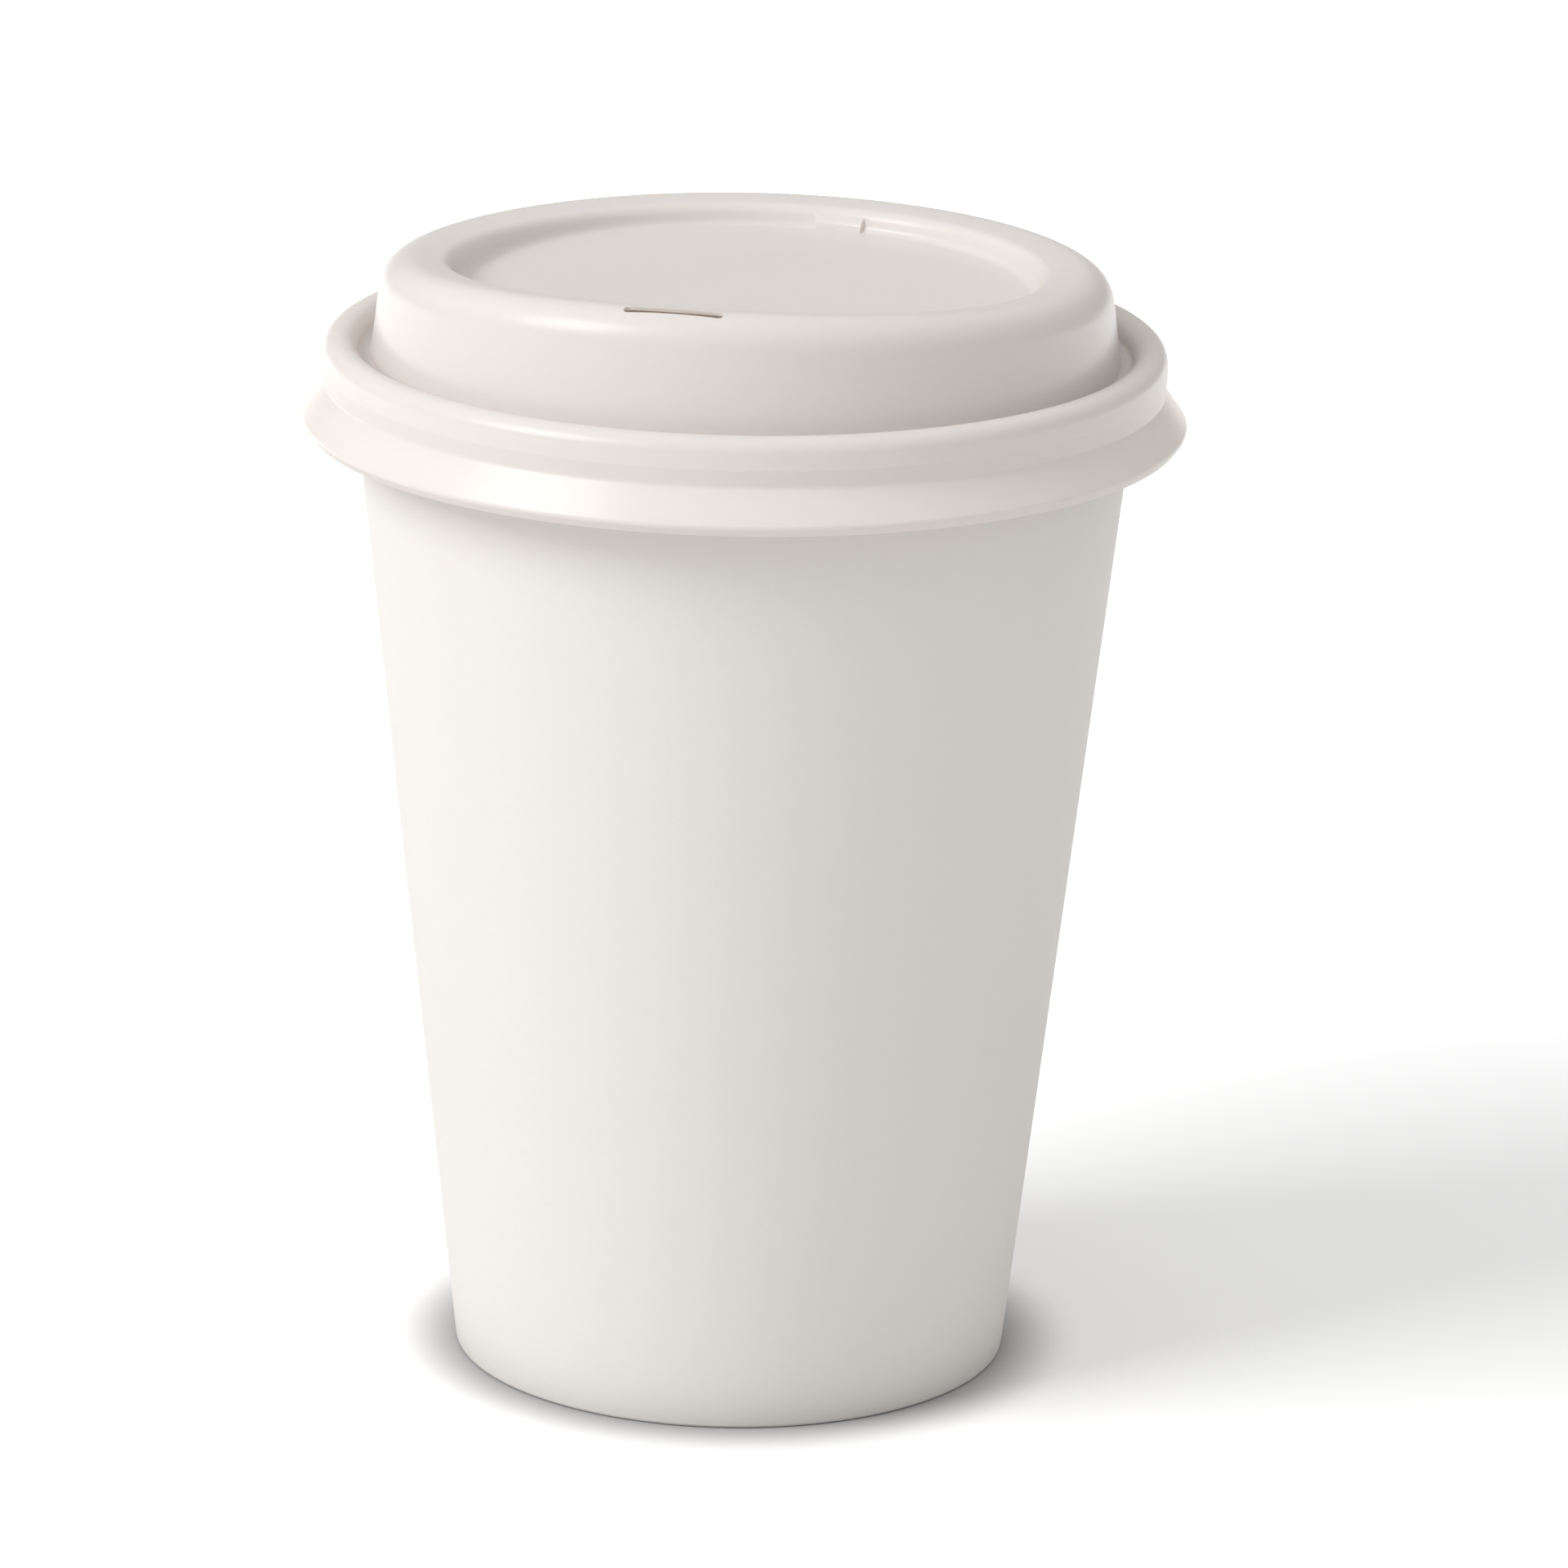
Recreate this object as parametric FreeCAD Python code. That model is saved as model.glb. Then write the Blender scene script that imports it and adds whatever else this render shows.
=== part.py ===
import FreeCAD, Part
import math
import os

# Takeaway cup for a hot drink: a paper cup glued up from two blanks, with a thermoformed lid pressed over its rim.
# Millimetres, +Z up. The origin is the centre of the ring that the cup stands on, and -Y is the front.

# Sizes of the whole cup
rim_diameter = 90.0
base_diameter = 60.5
cup_height = 113.4

# Paper of the side wall, its rolled rim, its folded foot and its glued side seam
wall_thickness = 0.4
curl_diameter = 2.8
curl_sweep_deg = 300.0
fold_height = 6.5
fold_corner_radius = 0.45
seam_width = 7.0
seam_feather = 4.0
seam_azimuth_deg = 90.0
seam_end_gap = 0.6

# Paper of the bottom, and how it sits in the fold
bottom_thickness = 0.35
bottom_recess = 8.0
bottom_corner_radius = 1.2
glue_gap = 0.02
skirt_end_gap = 0.15

# Sheet of the lid, and its grip over the rolled rim
lid_thickness = 0.35
rim_clearance = 0.1
snap_undercut = 0.3
snap_height = 3.3
snap_corner_radius = 0.5
flare_drop = 3.65
flare_reach = 2.65
edge_drop = 1.0
edge_turn_in = 0.8
edge_corner_radius = 0.5
channel_depth = 3.0
channel_width = 1.18
channel_corner_radius = 0.35

# Dome of the lid: tapered wall, round shoulder, ridge and sunken deck
dome_taper_deg = 7.0
ridge_height = 8.0
shoulder_radius = 3.6
land_width = 4.9
land_fall_deg = 4.0
land_corner_radius = 1.4
recess_depth = 2.5
recess_draft_deg = 15.0
recess_corner_radius = 1.0
deck_rim_width = 1.4

# The ridge is level round the back and sides, and rises toward the mouth
mouth_azimuth_deg = -102.0
mouth_lift = 3.6
mouth_lift_power = 2.7
lid_sections = 19

# Lugs on the wall of the recess, which keep stacked lids from jamming
lug_count = 3
lug_azimuth_deg = 71.0
lug_width = 5.7
lug_height = 1.6
lug_proud = 0.7

# Holes in the lid
sip_length = 10.6
sip_width = 2.6
sip_outset = 1.0
vent_diameter = 1.0
vent_azimuth_deg = 175.0
vent_inset = 1.0

# Places that follow from the sizes
curl_radius = curl_diameter / 2
curl_centre_r = rim_diameter / 2 - curl_radius
curl_centre_z = cup_height - curl_radius
base_radius = base_diameter / 2
tangent_distance = math.hypot(curl_centre_r - base_radius, curl_centre_z)
wall_taper = math.atan2(curl_centre_r - base_radius, curl_centre_z)
wall_taper -= math.asin((curl_radius - wall_thickness) / tangent_distance)
bead_radius = curl_radius + rim_clearance + lid_thickness
bead_top_z = curl_centre_z + bead_radius
channel_z = bead_top_z - channel_depth
crest_z = cup_height + ridge_height
deck_z = crest_z - recess_depth
SMALL = 1e-6
SEWING_TOLERANCE = 0.002

# Roundings are runs of short cones, which leave the true arc by no more than this
chord_sagitta = 0.06


def point(place, azimuth_deg=0.0):
    """The point at a profile's (radius, height), turned to an azimuth about the cup's axis."""
    angle = math.radians(azimuth_deg)
    return FreeCAD.Vector(place[0] * math.cos(angle), place[0] * math.sin(angle), place[1])


def unit(start, end):
    """The direction from one profile point to another."""
    across = end[0] - start[0]
    up = end[1] - start[1]
    length = math.hypot(across, up)
    return across / length, up / length


def corner_of_tangents(centre, radius, first_deg, second_deg):
    """Where two tangents of a circle meet, given the angles of the points where they touch it."""
    half = math.radians(second_deg - first_deg) / 2
    middle = math.radians(first_deg + second_deg) / 2
    reach = radius / math.cos(half)
    return centre[0] + reach * math.cos(middle), centre[1] + reach * math.sin(middle)


def meeting(start, along, other, other_along):
    """Where two lines meet, each given by a point and a direction."""
    cross = along[0] * other_along[1] - along[1] * other_along[0]
    step = ((other[0] - start[0]) * other_along[1] - (other[1] - start[1]) * other_along[0]) / cross
    return start[0] + step * along[0], start[1] + step * along[1]


def parallel(corners, distance):
    """The same run of (radius, height, rounding) corners, moved to the left of its direction."""
    moved = []
    last = len(corners) - 1
    for i, (r, z, rounding) in enumerate(corners):
        before = unit(corners[max(i, 1) - 1], corners[max(i, 1)]) if i else None
        after = unit(corners[i], corners[i + 1]) if i < last else None
        before = before or after
        after = after or before
        turn = before[0] * after[1] - before[1] * after[0]
        share = distance / (1 + before[0] * after[0] + before[1] * after[1])
        place = (r - share * (before[1] + after[1]), z + share * (before[0] + after[0]))
        rounded = max(rounding - math.copysign(distance, turn), 0.0) if rounding else 0.0
        moved.append((place[0], place[1], rounded))
    return moved


def arc_places(centre, radius, first_deg, sweep_deg):
    """Profile points along an arc, so close that its chords stay within the allowed sagitta."""
    step_deg = 2 * math.degrees(math.acos(1 - chord_sagitta / max(radius, chord_sagitta)))
    chords = max(1, math.ceil(abs(sweep_deg) / step_deg - SMALL))
    angles = [math.radians(first_deg + sweep_deg * i / chords) for i in range(chords + 1)]
    return [(centre[0] + radius * math.cos(a), centre[1] + radius * math.sin(a)) for a in angles]


def straight_edges(places, azimuth_deg=0.0):
    """Straight edges from each profile point to the next, standing at an azimuth."""
    pairs = [(start, end) for start, end in zip(places, places[1:]) if math.dist(start, end) > SMALL]
    return [Part.LineSegment(point(a, azimuth_deg), point(b, azimuth_deg)).toShape() for a, b in pairs]


def rounded_edges(corners, azimuth_deg=0.0):
    """Edges that follow (radius, height, rounding) corners, standing at an azimuth."""
    places = [corners[0][:2]]
    for before, corner, after in zip(corners, corners[1:], corners[2:]):
        into = unit(before, corner)
        out = unit(corner, after)
        turn = math.atan2(into[0] * out[1] - into[1] * out[0], into[0] * out[0] + into[1] * out[1])
        cut = corner[2] * math.tan(abs(turn) / 2)
        side = math.copysign(corner[2], turn)
        spoke = (side * into[1], -side * into[0])
        centre = (corner[0] - cut * into[0] - spoke[0], corner[1] - cut * into[1] - spoke[1])
        first_deg = math.degrees(math.atan2(spoke[1], spoke[0]))
        places += arc_places(centre, corner[2], first_deg, math.degrees(turn))
    places.append(corners[-1][:2])
    return straight_edges(places, azimuth_deg)


def turned_solid(edges):
    """The solid that a closed profile sweeps in one full turn about the cup's axis."""
    face = Part.Face(Part.Wire(Part.__sortEdges__(edges)))
    return face.revolve(FreeCAD.Vector(), FreeCAD.Vector(0, 0, 1), 360)


def sheet_solid(corners, thickness):
    """A sheet of even thickness, turned from a run of corners, with its material to the left of them."""
    other = parallel(corners, thickness)
    ends = straight_edges((corners[0][:2], other[0][:2])) + straight_edges((corners[-1][:2], other[-1][:2]))
    return turned_solid(rounded_edges(corners) + rounded_edges(other) + ends)


def wall_radius(z):
    """Radius of the cup's outside at a height."""
    return base_radius + z * math.tan(wall_taper)


def inside_wall(z, depth):
    """A profile point that lies a depth inside the cup's outer face, measured square to it."""
    return wall_radius(z) - depth / math.cos(wall_taper), z


def cup_sidewall():
    """The cone of paper: foot folded in and up, rim rolled outward, and the glued lap down the back."""
    fold_depth = 2 * wall_thickness + bottom_thickness + 2 * glue_gap
    flap_top = inside_wall(fold_height, fold_depth)
    flap_foot = inside_wall(0.0, fold_depth)
    touch_deg = 180.0 - math.degrees(wall_taper)
    curl_centre = (curl_centre_r, curl_centre_z)
    inner_curl = arc_places(curl_centre, curl_radius - wall_thickness, touch_deg, -curl_sweep_deg)
    outer_curl = arc_places(curl_centre, curl_radius, touch_deg, -curl_sweep_deg)
    corners = [
        (flap_top[0], flap_top[1], 0.0),
        (flap_foot[0], flap_foot[1], fold_corner_radius),
        (base_radius, 0.0, fold_corner_radius),
        (inner_curl[0][0], inner_curl[0][1], 0.0),
    ]
    other = parallel(corners, wall_thickness)
    edges = rounded_edges(corners) + straight_edges(inner_curl)
    edges += rounded_edges(other) + straight_edges(outer_curl)
    edges += straight_edges((corners[0][:2], other[0][:2])) + straight_edges((inner_curl[-1], outer_curl[-1]))
    return turned_solid(edges).fuse(side_seam()).removeSplitter()


def seam_section(z):
    """Outline of the lap at a height: a step at its free edge, feathering to nothing on the other side."""
    face_r = wall_radius(z)
    buried_r = face_r - wall_thickness / 2
    raised_r = face_r + wall_thickness
    free_deg = seam_azimuth_deg + math.degrees(seam_width / 2 / face_r)
    full_deg = seam_azimuth_deg - math.degrees(seam_width / 2 / face_r)
    thin_deg = full_deg - math.degrees(seam_feather / face_r)
    middle_deg = (free_deg + full_deg) / 2
    buried_deg = (free_deg + thin_deg) / 2
    inner = Part.Arc(point((buried_r, z), thin_deg), point((buried_r, z), buried_deg), point((buried_r, z), free_deg))
    step = Part.LineSegment(point((buried_r, z), free_deg), point((raised_r, z), free_deg))
    outer = Part.Arc(point((raised_r, z), free_deg), point((raised_r, z), middle_deg), point((raised_r, z), full_deg))
    feather = Part.LineSegment(point((raised_r, z), full_deg), point((buried_r, z), thin_deg))
    return Part.Wire([edge.toShape() for edge in (inner, step, outer, feather)])


def side_seam():
    """The glued lap of the wrapped blank, from just above the fold to just under the rolled rim."""
    top_z = cup_height - curl_diameter - seam_end_gap
    bottom_z = fold_corner_radius + seam_end_gap
    return Part.makeLoft([seam_section(bottom_z), seam_section(top_z)], True, True)


def cup_bottom():
    """The pressed disc of paper, with its edge turned down into the folded foot of the wall."""
    depth = wall_thickness + glue_gap
    foot = inside_wall(wall_thickness + skirt_end_gap, depth)
    top = inside_wall(bottom_recess + bottom_thickness, depth)
    corners = [
        (foot[0], foot[1], 0.0),
        (top[0], top[1], bottom_corner_radius),
        (0.0, top[1], 0.0),
    ]
    return sheet_solid(corners, bottom_thickness)


def ridge_lift(from_mouth_deg):
    """How far the ridge stands above its level at the back, at an angle from the mouth."""
    return mouth_lift * ((1 + math.cos(math.radians(from_mouth_deg))) / 2) ** mouth_lift_power


def channel_foot():
    """The two corners of the channel's bottom: under the leg inside the rim, and at the foot of the dome."""
    leg = inside_wall(channel_z, wall_thickness + rim_clearance + lid_thickness)
    return leg, (leg[0] - channel_width, channel_z)


def shoulder_centre(lift):
    """Centre of the round shoulder. It rises along the dome wall, so that the wall stays one cone."""
    taper = math.radians(dome_taper_deg)
    foot = channel_foot()[1]
    centre_z = crest_z - shoulder_radius + lift
    return foot[0] - (centre_z - foot[1]) * math.tan(taper) - shoulder_radius / math.cos(taper), centre_z


def recess_edge():
    """The corner where the wall of the recess meets the sunken deck."""
    return shoulder_centre(0.0)[0] - land_width, deck_z


def grip_corners():
    """Outer face of the lid from its flared edge, over the bead on the rim, to the bottom of the channel."""
    bead_outer = curl_centre_r + bead_radius
    bead_inner = curl_centre_r - bead_radius
    waist_r = bead_outer - snap_undercut
    waist_z = curl_centre_z - snap_height
    skirt_r = waist_r + flare_reach
    skirt_z = waist_z - flare_drop
    leg, foot = channel_foot()
    return [
        (skirt_r - edge_turn_in, skirt_z - edge_drop, 0.0),
        (skirt_r, skirt_z, edge_corner_radius),
        (waist_r, waist_z, snap_corner_radius),
        (bead_outer, curl_centre_z - curl_radius, snap_corner_radius),
        (bead_outer, bead_top_z, bead_radius),
        (bead_inner, bead_top_z, bead_radius),
        (leg[0], leg[1], channel_corner_radius),
        (foot[0], foot[1], channel_corner_radius),
    ]


def dome_corners(from_mouth_deg):
    """Outer face of the lid over the ridge, which is higher near the mouth, and down to the sunken deck."""
    centre = shoulder_centre(ridge_lift(from_mouth_deg))
    fall = math.radians(land_fall_deg)
    draft = math.radians(recess_draft_deg)
    shoulder = corner_of_tangents(centre, shoulder_radius, dome_taper_deg, 90.0 + land_fall_deg)
    deck_edge = recess_edge()
    along_land = (-math.cos(fall), -math.sin(fall))
    inner = meeting(shoulder, along_land, deck_edge, (math.sin(draft), math.cos(draft)))
    return [
        (shoulder[0], shoulder[1], shoulder_radius),
        (inner[0], inner[1], land_corner_radius),
        (deck_edge[0], deck_edge[1], recess_corner_radius),
        (deck_edge[0] - deck_rim_width, deck_z, 0.0),
    ]


def ring_edge(faces, place):
    """The edge of some faces that runs round the cup from a profile point."""
    for face in faces:
        for edge in face.Edges:
            ends = (edge.Vertexes[0].Point, edge.Vertexes[-1].Point)
            if all(math.dist((math.hypot(p.x, p.y), p.z), place) < SEWING_TOLERANCE for p in ends):
                return edge


def half_disc(arc):
    """The flat face between a half circle and its diameter."""
    across = Part.LineSegment(arc.Vertexes[0].Point, arc.Vertexes[-1].Point).toShape()
    return Part.Face(Part.Wire([arc, across]))


def lid_skin():
    """The closed skin of the lid: lofts over half a turn from the mouth, and their mirror image."""
    faces = []
    lips = []
    for depth in (0.0, lid_thickness):
        wires = []
        for i in range(lid_sections):
            from_mouth_deg = 180.0 * i / (lid_sections - 1)
            corners = parallel(grip_corners() + dome_corners(from_mouth_deg), depth)
            wires.append(Part.Wire(rounded_edges(corners, mouth_azimuth_deg + from_mouth_deg)))
        skin = Part.makeLoft(wires, False, False).Faces
        lips.append(ring_edge(skin, corners[0][:2]))
        faces += skin
        faces.append(half_disc(ring_edge(skin, corners[-1][:2])))
    faces.append(Part.makeRuledSurface(*lips))
    across = point((1.0, 0.0), mouth_azimuth_deg + 90.0)
    faces += [face.mirror(FreeCAD.Vector(), across) for face in faces]
    skin = Part.makeCompound(faces)
    skin.sewShape(SEWING_TOLERANCE)
    return Part.Solid(skin.Shells[0])


def lug_block(azimuth_deg, inset):
    """A block in the corner of the recess, whose front, top and ends lie a distance inside the lug's faces."""
    draft = math.radians(recess_draft_deg)
    edge = recess_edge()
    proud = lug_proud - inset
    top = (edge[0] + lug_height * math.sin(draft), edge[1] + lug_height * math.cos(draft))
    front_r = edge[0] - proud / math.cos(draft)
    sheet = [(top[0], top[1], 0.0), (edge[0], edge[1], recess_corner_radius), (front_r, edge[1], 0.0)]
    back = parallel(sheet, inset + lid_thickness / 2)
    rise = lug_height - lug_proud - inset
    front = (front_r + rise * math.sin(draft), edge[1] + rise * math.cos(draft))
    end_deg = math.degrees((lug_width / 2 - inset) / edge[0])
    closing = straight_edges((back[-1][:2], front, back[0][:2]), azimuth_deg - end_deg)
    wire = Part.Wire(rounded_edges(back, azimuth_deg - end_deg) + closing)
    return Part.Face(wire).revolve(FreeCAD.Vector(), FreeCAD.Vector(0, 0, 1), 2 * end_deg)


def sip_hole():
    """A cutter for the slot that the drink comes through, lying along the ridge at the mouth."""
    half_width = sip_width / 2
    half_run = sip_length / 2 - half_width
    low_z = deck_z
    height = crest_z + mouth_lift + lid_thickness - low_z
    middle_r = shoulder_centre(mouth_lift)[0] + sip_outset
    bar = Part.makeBox(sip_width, 2 * half_run, height, FreeCAD.Vector(middle_r - half_width, -half_run, low_z))
    ends = [Part.makeCylinder(half_width, height, FreeCAD.Vector(middle_r, y, low_z)) for y in (-half_run, half_run)]
    cutter = bar.multiFuse(ends).removeSplitter()
    cutter.rotate(FreeCAD.Vector(), FreeCAD.Vector(0, 0, 1), mouth_azimuth_deg)
    return cutter


def vent_hole():
    """A cutter for the small air hole at the edge of the deck."""
    middle_r = recess_edge()[0] - vent_inset
    low = point((middle_r, deck_z - lid_thickness - vent_diameter), vent_azimuth_deg)
    high = point((middle_r, deck_z + vent_diameter), vent_azimuth_deg)
    return Part.makeCylinder(vent_diameter / 2, high.z - low.z, low)


def sip_lid():
    """The thermoformed lid: its skin, the hollow lugs in the recess, and the punched sip and vent holes."""
    azimuths = [lug_azimuth_deg + 360.0 * i / lug_count for i in range(lug_count)]
    lid = lid_skin().fuse([lug_block(azimuth_deg, 0.0) for azimuth_deg in azimuths])
    hollows = [lug_block(azimuth_deg, lid_thickness) for azimuth_deg in azimuths]
    return lid.cut(hollows + [sip_hole(), vent_hole()]).Solids[0]


def write(name, shape):
    """Writes one piece and prints what it measures."""
    shape.exportStep("parts/" + name + ".step")
    box = shape.optimalBoundingBox(False, False)
    print(name, shape.isValid(), len(shape.Solids), "solids", len(shape.Faces), "faces", round(shape.Volume, 1), "mm3")
    print("   ", [round(v, 3) for v in (box.XMin, box.YMin, box.ZMin, box.XMax, box.YMax, box.ZMax)])


os.makedirs("parts", exist_ok=True)
write("cup_sidewall", cup_sidewall())
write("cup_bottom", cup_bottom())
write("sip_lid", sip_lid())
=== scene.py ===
import bpy
import math
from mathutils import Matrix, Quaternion, Vector


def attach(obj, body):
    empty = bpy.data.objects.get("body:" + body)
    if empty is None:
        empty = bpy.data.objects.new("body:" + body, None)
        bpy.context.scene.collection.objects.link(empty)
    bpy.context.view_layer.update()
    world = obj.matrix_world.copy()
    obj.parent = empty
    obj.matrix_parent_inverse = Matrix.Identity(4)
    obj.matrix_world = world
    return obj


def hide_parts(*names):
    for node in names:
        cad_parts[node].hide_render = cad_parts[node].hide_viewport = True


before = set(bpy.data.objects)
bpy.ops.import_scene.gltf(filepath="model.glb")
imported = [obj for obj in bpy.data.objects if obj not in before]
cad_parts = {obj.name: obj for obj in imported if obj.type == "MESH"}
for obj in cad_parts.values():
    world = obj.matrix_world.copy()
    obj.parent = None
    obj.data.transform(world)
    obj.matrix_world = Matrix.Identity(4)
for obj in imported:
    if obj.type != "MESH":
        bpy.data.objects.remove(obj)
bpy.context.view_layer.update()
mm = 0.001

# Side wall of the cup. It is one fan-shaped blank of white cup paper, wrapped to a cone and glued down the
# back. Its foot is folded in and up round the bottom disc, and its rim is rolled outward, so that the roll
# shows the paper's inner face.
rim_radius = 45.0 * mm
cup_height = 113.4 * mm
base_radius = 30.25 * mm
paper_thickness = 0.4 * mm
bottom_paper_thickness = 0.35 * mm
glue_gap = 0.02 * mm
curl_radius = 1.4 * mm
curl_sweep = math.radians(300)
fold_height = 6.5 * mm
fold_corner_radius = 0.45 * mm
seam_azimuth = math.radians(90)
seam_width = 7.0 * mm
seam_feather = 4.0 * mm
seam_end_gap = 0.6 * mm
cut_step = 0.05 * mm
smooth_angle = math.radians(40)
cut_tolerance = 0.001 * mm
paper_white = (0.86, 0.828, 0.79, 1)
columns = 240
wall_rows = 24
fold_steps = 8
curl_steps = 40
curl_centre = (rim_radius - curl_radius, cup_height - curl_radius)
run = math.hypot(curl_centre[0] - base_radius, curl_centre[1])
curl_lean = math.atan2(curl_centre[0] - base_radius, curl_centre[1])
taper = curl_lean - math.asin((curl_radius - paper_thickness) / run)


def wall_radius(z):
    """Radius of the cup's outside at a height."""
    return base_radius + z * math.tan(taper)


def arc(centre, radius, first, last, steps):
    """Points (radius, height) along an arc of a profile, both ends included."""
    angles = [first + (last - first) * i / steps for i in range(steps + 1)]
    return [(centre[0] + radius * math.cos(a), centre[1] + radius * math.sin(a)) for a in angles]


def rounded(corners, steps):
    """A profile through (radius, height, rounding) corners, each rounding an arc of that many steps."""
    places = [corners[0][:2]]
    for before, corner, after in zip(corners, corners[1:], corners[2:]):
        into = (Vector(corner[:2]) - Vector(before[:2])).normalized()
        out = (Vector(after[:2]) - Vector(corner[:2])).normalized()
        turn = math.atan2(into.x * out.y - into.y * out.x, into.dot(out))
        start = Vector(corner[:2]) - corner[2] * math.tan(abs(turn) / 2) * into
        spoke = math.copysign(corner[2], turn) * Vector((into.y, -into.x))
        first = math.atan2(spoke.y, spoke.x)
        places += arc(start - spoke, corner[2], first, first + turn, steps)
    return places + [corners[-1][:2]]


def turned_skin(name, profile):
    """A skin turned from a profile, as a new object left in edit mode with its last ring selected."""
    bpy.ops.object.select_all(action="DESELECT")
    radius, height = profile[0]
    bpy.ops.mesh.primitive_circle_add(vertices=columns, radius=radius, location=(0, 0, height))
    piece = bpy.context.active_object
    piece.name = name
    bpy.ops.object.transform_apply(location=True)
    bpy.ops.object.mode_set(mode="EDIT")
    for (radius, height), (next_radius, next_height) in zip(profile, profile[1:]):
        bpy.ops.mesh.extrude_edges_move(TRANSFORM_OT_translate={"value": (0, 0, next_height - height)})
        scale = next_radius / radius
        bpy.ops.transform.resize(value=(scale, scale, 1), center_override=(0, 0, 0))
    return piece


def select_where(piece, wanted):
    """Selects just those vertices of a piece, in edit mode, whose place the test accepts."""
    bpy.ops.object.mode_set(mode="EDIT")
    bpy.ops.mesh.select_all(action="DESELECT")
    bpy.ops.object.mode_set(mode="OBJECT")
    for vertex in piece.data.vertices:
        vertex.select = wanted(vertex.co)
    bpy.ops.object.mode_set(mode="EDIT")


def cut_edges(piece, wanted, place, normal):
    """Cuts new edges where a plane crosses the faces whose vertices the test accepts."""
    select_where(piece, wanted)
    bpy.ops.mesh.bisect(plane_co=place, plane_no=Vector(normal).normalized(), threshold=cut_tolerance)
    bpy.ops.object.mode_set(mode="OBJECT")


def thicken(piece, thickness):
    """Gives a skin, whose faces point away from the sheet, the thickness of its sheet."""
    bpy.ops.object.mode_set(mode="OBJECT")
    sheet = piece.modifiers.new("sheet", "SOLIDIFY")
    sheet.thickness = thickness
    sheet.offset = -1
    sheet.use_even_offset = True
    bpy.ops.object.modifier_apply(modifier=sheet.name)


fold_depth = 2 * paper_thickness + bottom_paper_thickness + 2 * glue_gap
flap_slant = fold_depth / math.cos(taper)
touch = math.pi - taper
inner_curl = arc(curl_centre, curl_radius - paper_thickness, touch, touch - curl_sweep, curl_steps)
fold = rounded([
    (wall_radius(fold_height) - flap_slant, fold_height, 0),
    (wall_radius(0) - flap_slant, 0, fold_corner_radius),
    (base_radius, 0, fold_corner_radius),
    (*inner_curl[0], 0),
], fold_steps)
foot, top = fold[-2:]
rows = [(foot[0] + (top[0] - foot[0]) * i / wall_rows, foot[1] + (top[1] - foot[1]) * i / wall_rows)
        for i in range(1, wall_rows)]
cup_wall = turned_skin("paper_side_wall", fold[:-1] + rows + inner_curl)
thicken(cup_wall, paper_thickness)

# The glued lap: edges are cut along its free edge, its other side, the end of its feather and its two ends,
# and the outer face is raised between them by one thickness of paper.
seam_half = seam_width / 2
seam_low = fold_corner_radius + seam_end_gap
seam_high = cup_height - 2 * curl_radius - seam_end_gap


def seam_place(across, z):
    """A place on the wall's outer face, a distance round from the middle of the seam."""
    azimuth = seam_azimuth + across / wall_radius(z)
    return Vector((wall_radius(z) * math.cos(azimuth), wall_radius(z) * math.sin(azimuth), z))


for across in (seam_half, seam_half - cut_step, -seam_half, -seam_half - seam_feather):
    low = seam_place(across, seam_low)
    along = seam_place(across, seam_high) - low
    cut_edges(cup_wall, lambda place: place.y > 0, low, along.cross(Vector((low.x, low.y, 0))))
for z in (seam_low, seam_low + cut_step, seam_high - cut_step, seam_high):
    cut_edges(cup_wall, lambda place: place.y > abs(place.x), (0, 0, z), (0, 0, 1))
for vertex in cup_wall.data.vertices:
    place = vertex.co
    radius = math.hypot(place.x, place.y)
    across = (math.atan2(place.y, place.x) - seam_azimuth) * wall_radius(place.z)
    outside = radius > wall_radius(place.z) - paper_thickness / 2
    in_height = seam_low + cut_step / 2 < place.z < seam_high - cut_step / 2
    if outside and in_height and -seam_half - seam_feather < across < seam_half - cut_step / 2:
        share = min((across + seam_half + seam_feather) / seam_feather, 1)
        place.xy *= 1 + share * paper_thickness / radius


# The fine unevenness of paper and of formed sheet, which each material has at its own scale.
cloud_detail = 3
grain_detail = 4


def sheet_texture_group():
    """A node group that puts out a soft cloudy mask and a fine grain, both from 0 to 1."""
    group = bpy.data.node_groups.new("sheet_texture", "ShaderNodeTree")
    for name in ("Cloud Scale", "Grain Scale"):
        group.interface.new_socket(name, in_out="INPUT", socket_type="NodeSocketFloat")
    for name in ("Cloud", "Grain"):
        group.interface.new_socket(name, in_out="OUTPUT", socket_type="NodeSocketFloat")
    entry = group.nodes.new("NodeGroupInput")
    leave = group.nodes.new("NodeGroupOutput")
    place = group.nodes.new("ShaderNodeTexCoord")
    cloud = group.nodes.new("ShaderNodeTexNoise")
    grain = group.nodes.new("ShaderNodeTexNoise")
    cloud.inputs["Detail"].default_value = cloud_detail
    grain.inputs["Detail"].default_value = grain_detail
    group.links.new(place.outputs["Object"], cloud.inputs["Vector"])
    group.links.new(place.outputs["Object"], grain.inputs["Vector"])
    group.links.new(entry.outputs["Cloud Scale"], cloud.inputs["Scale"])
    group.links.new(entry.outputs["Grain Scale"], grain.inputs["Scale"])
    group.links.new(cloud.outputs["Fac"], leave.inputs["Cloud"])
    group.links.new(grain.outputs["Fac"], leave.inputs["Grain"])
    return group


sheet_texture = sheet_texture_group()


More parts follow.
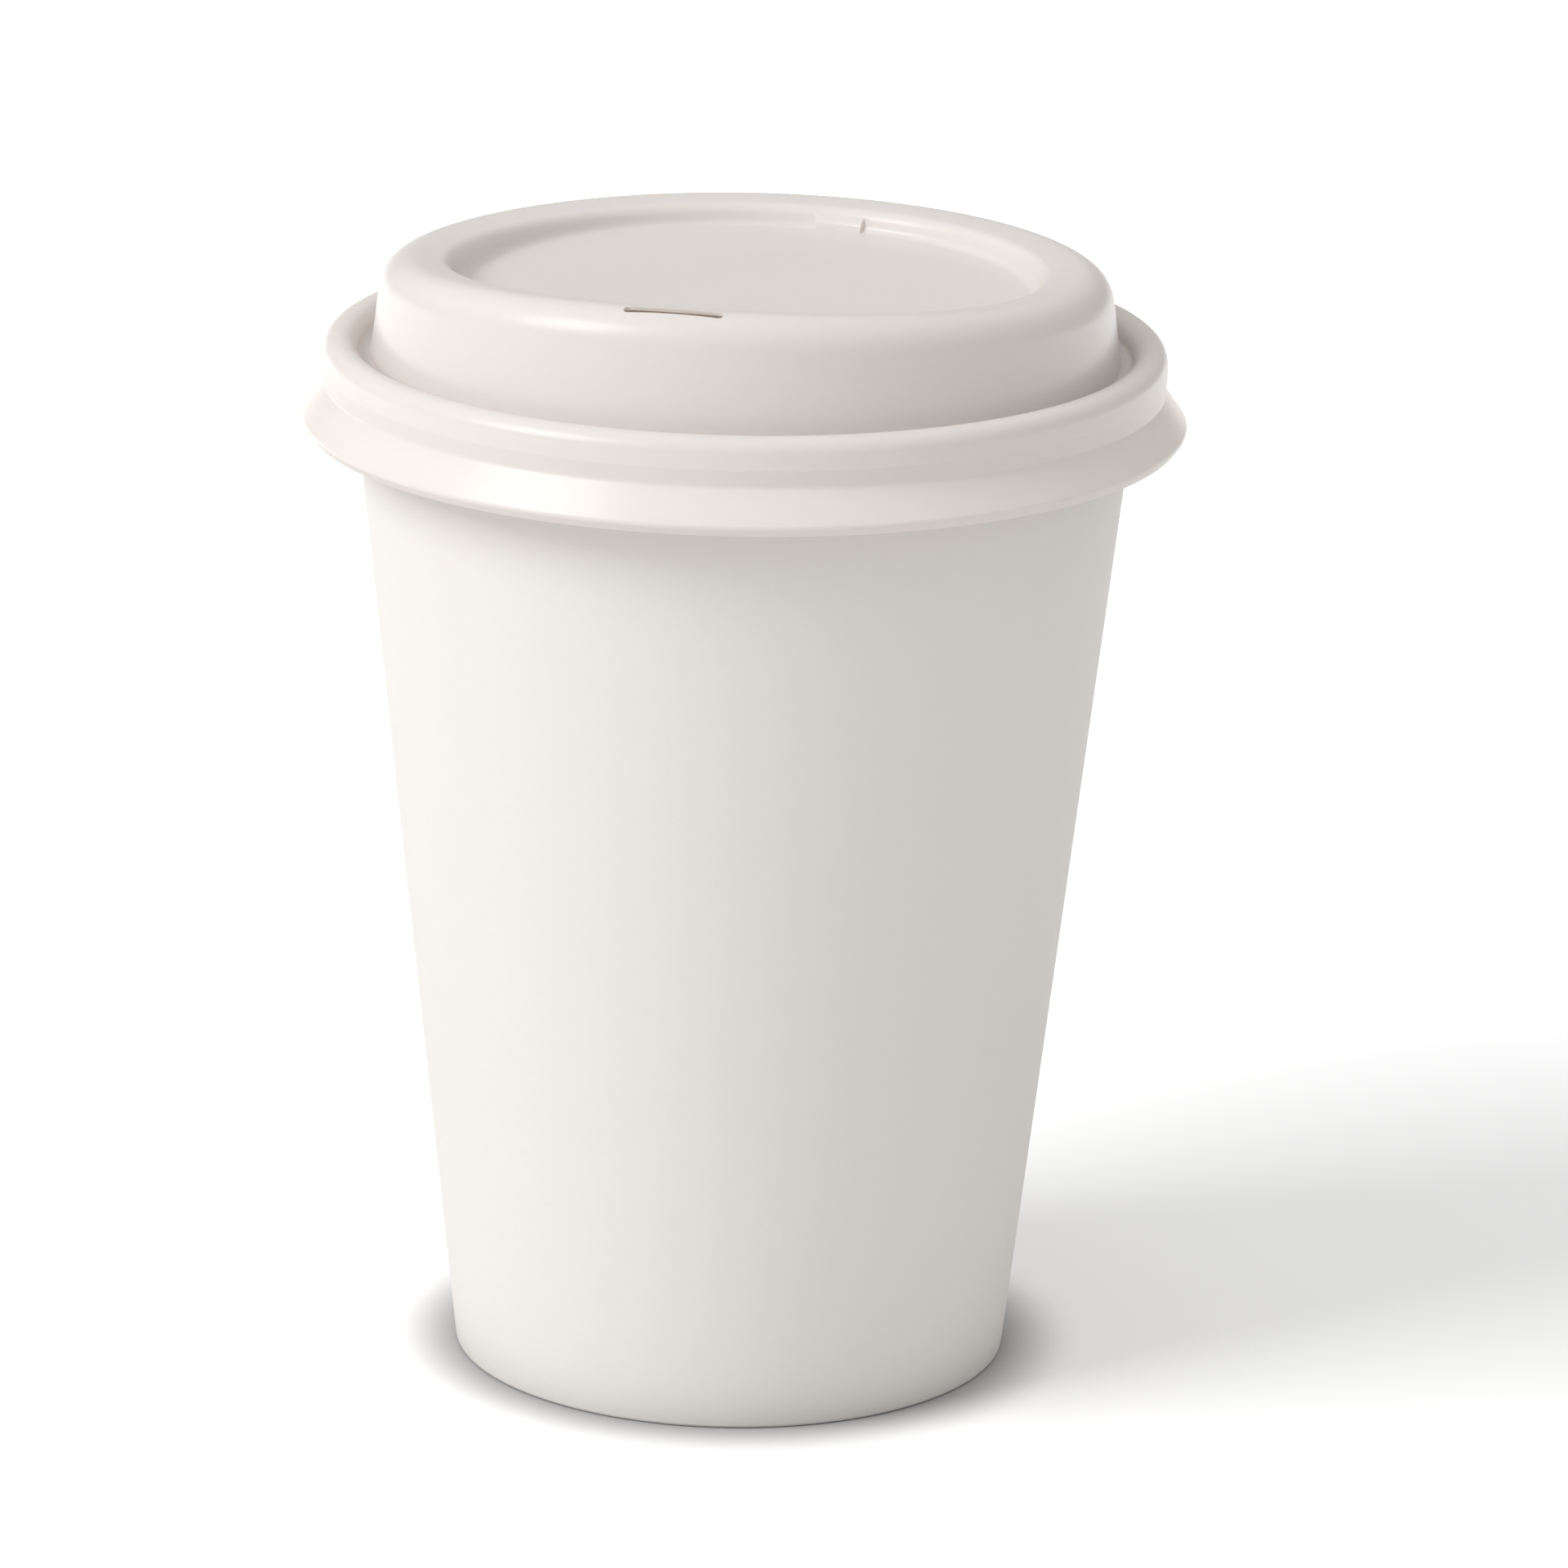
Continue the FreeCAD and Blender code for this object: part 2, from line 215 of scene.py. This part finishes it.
def sheet_material(name, colour, cloud_size, grain_size, shade, roughness, grain_height):
    """A material whose colour and roughness drift with the cloudy mask, with a fine grain on its face."""
    material = bpy.data.materials.new(name)
    material.use_nodes = True
    nodes = material.node_tree.nodes
    links = material.node_tree.links
    shader = nodes["Principled BSDF"]
    texture = nodes.new("ShaderNodeGroup")
    texture.node_tree = sheet_texture
    texture.inputs["Cloud Scale"].default_value = 1 / cloud_size
    texture.inputs["Grain Scale"].default_value = 1 / grain_size
    tint = nodes.new("ShaderNodeMix")
    tint.data_type = "RGBA"
    tint.inputs["A"].default_value = tuple(channel * (1 - shade) for channel in colour[:3]) + (1,)
    tint.inputs["B"].default_value = tuple(channel * (1 + shade) for channel in colour[:3]) + (1,)
    links.new(texture.outputs["Cloud"], tint.inputs["Factor"])
    links.new(tint.outputs["Result"], shader.inputs["Base Color"])
    gloss = nodes.new("ShaderNodeMapRange")
    gloss.inputs["To Min"].default_value = roughness[0]
    gloss.inputs["To Max"].default_value = roughness[1]
    links.new(texture.outputs["Cloud"], gloss.inputs["Value"])
    links.new(gloss.outputs["Result"], shader.inputs["Roughness"])
    bump = nodes.new("ShaderNodeBump")
    bump.inputs["Distance"].default_value = grain_height
    links.new(texture.outputs["Grain"], bump.inputs["Height"])
    links.new(bump.outputs["Normal"], shader.inputs["Normal"])
    return material


def finish_piece(piece, material, node):
    """Shades a piece smooth up to its edges, gives it its material and puts it in the place of its node."""
    bpy.ops.object.select_all(action="DESELECT")
    bpy.context.view_layer.objects.active = piece
    piece.select_set(True)
    bpy.ops.object.shade_smooth_by_angle(angle=smooth_angle)
    piece.data.materials.clear()
    piece.data.materials.append(material)
    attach(piece, "root")
    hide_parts(node)


wall_paper = sheet_material("white_cup_paper", paper_white, cloud_size=9 * mm, grain_size=0.35 * mm,
                            shade=0.012, roughness=(0.55, 0.68), grain_height=0.02 * mm)
finish_piece(cup_wall, wall_paper, "cup_sidewall")

# Bottom of the cup. It is a pressed disc of the same paper, a little thinner, with its edge turned down and
# glued inside the folded foot, so that the cup stands on the fold and the disc hangs clear of the table.
bottom_recess = 8.0 * mm
bottom_corner_radius = 1.2 * mm
bottom_corner_steps = 10
skirt_end_gap = 0.15 * mm
skirt_end = paper_thickness + skirt_end_gap
bottom_slant = (paper_thickness + glue_gap) / math.cos(taper)
bottom_top = bottom_recess + bottom_paper_thickness
disc_rings = (24 * mm, 16 * mm, 8 * mm, 1 * mm)
disc = rounded([
    (wall_radius(skirt_end) - bottom_slant, skirt_end, 0),
    (wall_radius(bottom_top) - bottom_slant, bottom_top, bottom_corner_radius),
    (disc_rings[0], bottom_top, 0),
], bottom_corner_steps)
cup_base = turned_skin("paper_bottom_disc", disc + [(radius, bottom_top) for radius in disc_rings[1:]])
bpy.ops.mesh.edge_face_add()
thicken(cup_base, bottom_paper_thickness)
disc_paper = sheet_material("white_disc_paper", paper_white, cloud_size=7 * mm, grain_size=0.3 * mm,
                            shade=0.02, roughness=(0.6, 0.72), grain_height=0.02 * mm)
finish_piece(cup_base, disc_paper, "cup_bottom")

# The lid. It is one sheet of white plastic, thermoformed: a flared edge, a bead that snaps over the rolled
# rim, a channel inside the rim, and a tapered dome. The ridge round the sunken deck rises toward the mouth.
lid_thickness = 0.35 * mm
rim_clearance = 0.1 * mm
snap_undercut = 0.3 * mm
snap_height = 3.3 * mm
snap_corner_radius = 0.5 * mm
flare_drop = 3.65 * mm
flare_reach = 2.65 * mm
edge_drop = 1.0 * mm
edge_turn_in = 0.8 * mm
edge_corner_radius = 0.5 * mm
channel_depth = 2.25 * mm
channel_width = 1.35 * mm
channel_corner_radius = 0.35 * mm
dome_taper = math.radians(7)
ridge_height = 8.0 * mm
shoulder_radius = 3.6 * mm
land_width = 4.9 * mm
land_fall = math.radians(4)
land_corner_radius = 1.4 * mm
recess_depth = 2.5 * mm
recess_draft = math.radians(15)
recess_corner_radius = 1.0 * mm
mouth_azimuth = math.radians(-102)
mouth_lift = 3.6 * mm
mouth_lift_power = 2.7
lid_corner_steps = 12
deck_rings = (27 * mm, 24 * mm, 20 * mm, 15 * mm, 10 * mm, 5 * mm, 1 * mm)
lid_white = (0.97, 0.94, 0.92, 1)

bead_radius = curl_radius + rim_clearance + lid_thickness
bead_top = curl_centre[1] + bead_radius
bead_outer = curl_centre[0] + bead_radius
bead_inner = curl_centre[0] - bead_radius
waist = (bead_outer - snap_undercut, curl_centre[1] - snap_height)
channel_z = bead_top - channel_depth
leg_depth = paper_thickness + rim_clearance + lid_thickness
crest_z = cup_height + ridge_height
deck_z = crest_z - recess_depth
leg_r = wall_radius(channel_z) - leg_depth / math.cos(taper)
dome_foot = leg_r - channel_width
shoulder_z = crest_z - shoulder_radius
dome_rise = shoulder_z - channel_z
ridge_radius = dome_foot - dome_rise * math.tan(dome_taper) - shoulder_radius / math.cos(dome_taper)
recess_radius = ridge_radius - land_width
shoulder_centre = Vector((ridge_radius, shoulder_z))
dome_touch = shoulder_centre + shoulder_radius * Vector((math.cos(dome_taper), math.sin(dome_taper)))
half_turn = (math.pi / 2 + land_fall - dome_taper) / 2
shoulder_reach = shoulder_radius / math.cos(half_turn)
shoulder_lean = dome_taper + half_turn
shoulder = shoulder_centre + shoulder_reach * Vector((math.cos(shoulder_lean), math.sin(shoulder_lean)))
land_step = shoulder.x - recess_radius - (shoulder.y - deck_z) * math.tan(recess_draft)
land_step /= math.cos(land_fall) - math.sin(land_fall) * math.tan(recess_draft)
land_end = shoulder - land_step * Vector((math.cos(land_fall), math.sin(land_fall)))
lid_profile = rounded([
    (waist[0] + flare_reach - edge_turn_in, waist[1] - flare_drop - edge_drop, 0),
    (waist[0] + flare_reach, waist[1] - flare_drop, edge_corner_radius),
    (*waist, snap_corner_radius),
    (bead_outer, curl_centre[1] - curl_radius, snap_corner_radius),
    (bead_outer, bead_top, bead_radius),
    (bead_inner, bead_top, bead_radius),
    (leg_r, channel_z, channel_corner_radius),
    (dome_foot, channel_z, channel_corner_radius),
    (*shoulder, shoulder_radius),
    (*land_end, land_corner_radius),
    (recess_radius, deck_z, recess_corner_radius),
    (deck_rings[0], deck_z, 0),
], lid_corner_steps)
lid = turned_skin("sip_lid_shell", lid_profile + [(radius, deck_z) for radius in deck_rings[1:]])
bpy.ops.mesh.edge_face_add()
bpy.ops.object.mode_set(mode="OBJECT")

# The mould's ridge climbs toward the mouth: each point of it moves up by the same smooth share of the lift,
# and in along the dome's taper or out along the recess wall's draft, so that both walls stay plain cones.
land_split = (land_end.x + shoulder.x) / 2
dome_lift_start = dome_touch.y - 0.01 * mm
recess_lift_start = deck_z + 0.4 * recess_depth
for vertex in lid.data.vertices:
    place = vertex.co
    radius = math.hypot(place.x, place.y)
    from_mouth = math.atan2(place.y, place.x) - mouth_azimuth
    lift = mouth_lift * ((1 + math.cos(from_mouth)) / 2) ** mouth_lift_power
    on_dome_side = radius > land_split
    if place.z > (dome_lift_start if on_dome_side else recess_lift_start):
        lean = -math.tan(dome_taper) if on_dome_side else math.tan(recess_draft)
        scale = (radius + lift * lean) / radius
        vertex.co = (place.x * scale, place.y * scale, place.z + lift)

# Three lugs on the wall of the recess keep stacked lids from jamming. Their ends are cut into the wall, and
# once the sheet has its thickness, the outer face between them is brought forward.
lug_count = 3
lug_azimuth = math.radians(71)
lug_azimuths = [lug_azimuth + math.tau * i / lug_count for i in range(lug_count)]
lug_width = 5.7 * mm
lug_height = 1.5 * mm
lug_slope = 0.45 * mm
lug_proud = 0.7 * mm
lug_end = 0.25 * mm
lug_zone_half_width = 3.8 * mm
lug_zone_depth = 2.0 * mm


def round_from(place, azimuth):
    """The turn from an azimuth to a place, between minus and plus half a turn."""
    return math.remainder(math.atan2(place.y, place.x) - azimuth, math.tau)


def near_lug(place, azimuth):
    """Whether a place is on the recess wall at a lug or close beside it."""
    beside = abs(round_from(place, azimuth)) < lug_zone_half_width / recess_radius
    return beside and abs(math.hypot(place.x, place.y) - recess_radius) < lug_zone_depth


for azimuth in lug_azimuths:
    for from_middle in (lug_width / 2, lug_width / 2 - lug_end):
        for turn in (-from_middle / recess_radius, from_middle / recess_radius):
            across = (-math.sin(azimuth + turn), math.cos(azimuth + turn), 0)
            cut_edges(lid, lambda place: near_lug(place, azimuth), (0, 0, deck_z), across)
outer_face_size = len(lid.data.vertices)
thicken(lid, lid_thickness)
for azimuth in lug_azimuths:
    for vertex in lid.data.vertices[:outer_face_size]:
        place = vertex.co
        radius = math.hypot(place.x, place.y)
        height = place.z - deck_z
        wall_r = recess_radius + height * math.tan(recess_draft)
        in_lug = abs(round_from(place, azimuth)) < (lug_width - lug_end) / 2 / recess_radius
        if in_lug and height < lug_height and radius < wall_r + lid_thickness / 2:
            share = min((lug_height - height) / lug_slope, 1)
            place.xy *= min(1, (wall_r - share * lug_proud / math.cos(recess_draft)) / radius)

# Holes punched in the lid: a slot on the ridge for the drink, and a small round vent at the deck's edge.
sip_length = 10.6 * mm
sip_width = 1.2 * mm
sip_outset = 0.6 * mm
vent_radius = 0.5 * mm
vent_azimuth = math.radians(175)
vent_inset = 1.0 * mm
punch_length = 12.0 * mm
punch_sides = 48


def punch(piece, radius, reach, azimuth, half_run):
    """Cuts a round-ended hole straight down through the lid, centred at a reach and an azimuth."""
    bpy.ops.object.select_all(action="DESELECT")
    bpy.ops.mesh.primitive_cylinder_add(vertices=punch_sides, radius=radius, depth=punch_length,
                                        location=(reach, 0, crest_z), rotation=(0, 0, math.pi / punch_sides))
    cutter = bpy.context.active_object
    bpy.ops.object.transform_apply()
    for side in (-1, 1):
        select_where(cutter, lambda place: side * place.y > 0)
        bpy.ops.transform.translate(value=(0, side * half_run, 0))
    bpy.ops.object.mode_set(mode="OBJECT")
    cutter.rotation_euler.z = azimuth
    bpy.ops.object.transform_apply(rotation=True)
    bpy.context.view_layer.objects.active = piece
    hole = piece.modifiers.new("hole", "BOOLEAN")
    hole.object = cutter
    hole.solver = "EXACT"
    bpy.ops.object.modifier_apply(modifier=hole.name)
    bpy.data.objects.remove(cutter)


sip_reach = ridge_radius - mouth_lift * math.tan(dome_taper) + sip_outset
punch(lid, sip_width / 2, sip_reach, mouth_azimuth, sip_length / 2 - sip_width / 2)
punch(lid, vent_radius, recess_radius - vent_inset, vent_azimuth, 0)

# The plastic is satin, and so thin that some light comes through it, a little warmer.
milkiness = 0.15
milky_reach = (1.0, 0.75, 0.55)
milky_depth = 0.5 * mm
see_through_share = 0.3
warm_light = (1.0, 0.9, 0.8, 1)
lid_plastic = sheet_material("white_lid_plastic", lid_white, cloud_size=14 * mm, grain_size=4 * mm,
                             shade=0.006, roughness=(0.26, 0.32), grain_height=0.002 * mm)
nodes = lid_plastic.node_tree.nodes
links = lid_plastic.node_tree.links
shader = nodes["Principled BSDF"]
shader.inputs["Subsurface Weight"].default_value = milkiness
shader.inputs["Subsurface Radius"].default_value = milky_reach
shader.inputs["Subsurface Scale"].default_value = milky_depth
through = nodes.new("ShaderNodeBsdfTranslucent")
through.inputs["Color"].default_value = warm_light
sheet = nodes.new("ShaderNodeMixShader")
sheet.inputs["Fac"].default_value = see_through_share
links.new(shader.outputs[0], sheet.inputs[1])
links.new(through.outputs[0], sheet.inputs[2])
links.new(sheet.outputs[0], nodes["Material Output"].inputs["Surface"])
finish_piece(lid, lid_plastic, "sip_lid")

# Floor: a plain white sweep. It takes the cup's shadow, and close round the foot a painted shadow, a soft
# dark ring in its colour, darkens it further; where nothing shades it, it is seen as pure white.
floor_size = 8
floor_white = 0.78
floor_seen_white = 1.12
# The painted shadow round the foot: where its darkening starts inside the foot's edge, where it ends outside,
# and how dark it paints the floor's colour.
painted_shadow_inset = 1.75 * mm
painted_shadow_outset = 9.25 * mm
painted_shadow_darkest = 0.36
glow_start = 0.2
glow_full = 0.6
bpy.ops.object.select_all(action="DESELECT")
bpy.ops.mesh.primitive_plane_add(size=floor_size, location=(0, 0, 0))
floor = bpy.context.active_object
floor.name = "floor"
white = bpy.data.materials.new("floor_white")
white.use_nodes = True
nodes = white.node_tree.nodes
links = white.node_tree.links
nodes.clear()
output = nodes.new("ShaderNodeOutputMaterial")
diffuse = nodes.new("ShaderNodeBsdfDiffuse")
glow = nodes.new("ShaderNodeEmission")


def worked_out(operation, first, second):
    """The value that an operation makes of two others, as a socket of the floor's material."""
    node = nodes.new("ShaderNodeMath")
    node.operation = operation
    links.new(first, node.inputs[0])
    links.new(second, node.inputs[1])
    return node.outputs[0]


rays = nodes.new("ShaderNodeLightPath")
seen = worked_out("MAXIMUM", rays.outputs["Is Camera Ray"], rays.outputs["Is Glossy Ray"])
exposed = nodes.new("ShaderNodeMapRange")
exposed.inputs["To Min"].default_value = floor_white
exposed.inputs["To Max"].default_value = floor_seen_white
links.new(seen, exposed.inputs["Value"])
place = nodes.new("ShaderNodeTexCoord")
far = nodes.new("ShaderNodeVectorMath")
far.operation = "LENGTH"
links.new(place.outputs["Object"], far.inputs[0])
# Painted shadow: the floor's colour is darkened smoothly toward the cup's foot, standing in for the contact
# shade there.
painted_shadow_ring = nodes.new("ShaderNodeMapRange")
painted_shadow_ring.interpolation_type = "SMOOTHSTEP"
painted_shadow_ring.inputs["From Min"].default_value = base_radius - painted_shadow_inset
painted_shadow_ring.inputs["From Max"].default_value = base_radius + painted_shadow_outset
painted_shadow_ring.inputs["To Min"].default_value = painted_shadow_darkest
links.new(far.outputs["Value"], painted_shadow_ring.inputs["Value"])
colour_with_painted_shadow = worked_out("MULTIPLY", exposed.outputs["Result"], painted_shadow_ring.outputs["Result"])
links.new(colour_with_painted_shadow, diffuse.inputs["Color"])
spread = nodes.new("ShaderNodeMapRange")
spread.inputs["From Min"].default_value = glow_start
spread.inputs["From Max"].default_value = glow_full
links.new(far.outputs["Value"], spread.inputs["Value"])
strength = worked_out("MULTIPLY", spread.outputs["Result"], seen)
links.new(strength, glow.inputs["Strength"])
both = nodes.new("ShaderNodeAddShader")
links.new(diffuse.outputs[0], both.inputs[0])
links.new(glow.outputs[0], both.inputs[1])
links.new(both.outputs[0], output.inputs["Surface"])
floor.data.materials.append(white)

# World: soft white light from all round, strongest overhead.
horizon_strength = 0.43
overhead_strength = 0.81
world = bpy.data.worlds.new("studio")
bpy.context.scene.world = world
world.use_nodes = True
nodes = world.node_tree.nodes
links = world.node_tree.links
sky = nodes["Background"]
sky.inputs["Color"].default_value = (1, 1, 1, 1)
toward = nodes.new("ShaderNodeTexCoord")
upward = nodes.new("ShaderNodeSeparateXYZ")
links.new(toward.outputs["Generated"], upward.inputs[0])
overhead = nodes.new("ShaderNodeMapRange")
overhead.inputs["To Min"].default_value = horizon_strength
overhead.inputs["To Max"].default_value = overhead_strength
links.new(upward.outputs["Z"], overhead.inputs["Value"])
links.new(overhead.outputs["Result"], sky.inputs["Strength"])

# Key light: a large soft box to the left of the camera.
key_azimuth = math.radians(65)
key_elevation = math.radians(40)
key_distance = 2.5
key_size = 1.2
key_power = 33
toward_key = Vector((
    -math.sin(key_azimuth) * math.cos(key_elevation),
    -math.cos(key_azimuth) * math.cos(key_elevation),
    math.sin(key_elevation),
))
bpy.ops.object.light_add(type="AREA", location=key_distance * toward_key)
key = bpy.context.active_object
key.name = "key_softbox"
key.data.shape = "RECTANGLE"
key.data.size = key_size
key.data.size_y = key_size
key.data.energy = key_power
key.rotation_euler = toward_key.to_track_quat("Z", "Y").to_euler()

# Camera: a long lens, at the height of a viewer who looks down on the lid.
camera_distance = 989.4 * mm
camera_elevation = math.radians(20.094)
camera_target = Vector((5.0, 0, 63.66)) * mm
camera_roll = math.radians(1.078)
camera_sensor = 36
camera_lens = 203.96
eye = camera_distance * Vector((0, -math.cos(camera_elevation), math.sin(camera_elevation)))
bpy.ops.object.camera_add(location=eye)
camera = bpy.context.active_object
camera.data.sensor_width = camera_sensor
camera.data.lens = camera_lens
camera.rotation_mode = "QUATERNION"
level_aim = (camera_target - eye).to_track_quat("-Z", "Y")
camera.rotation_quaternion = level_aim @ Quaternion((0, 0, 1), camera_roll)
bpy.context.scene.camera = camera
bpy.context.scene.view_settings.view_transform = "Standard"
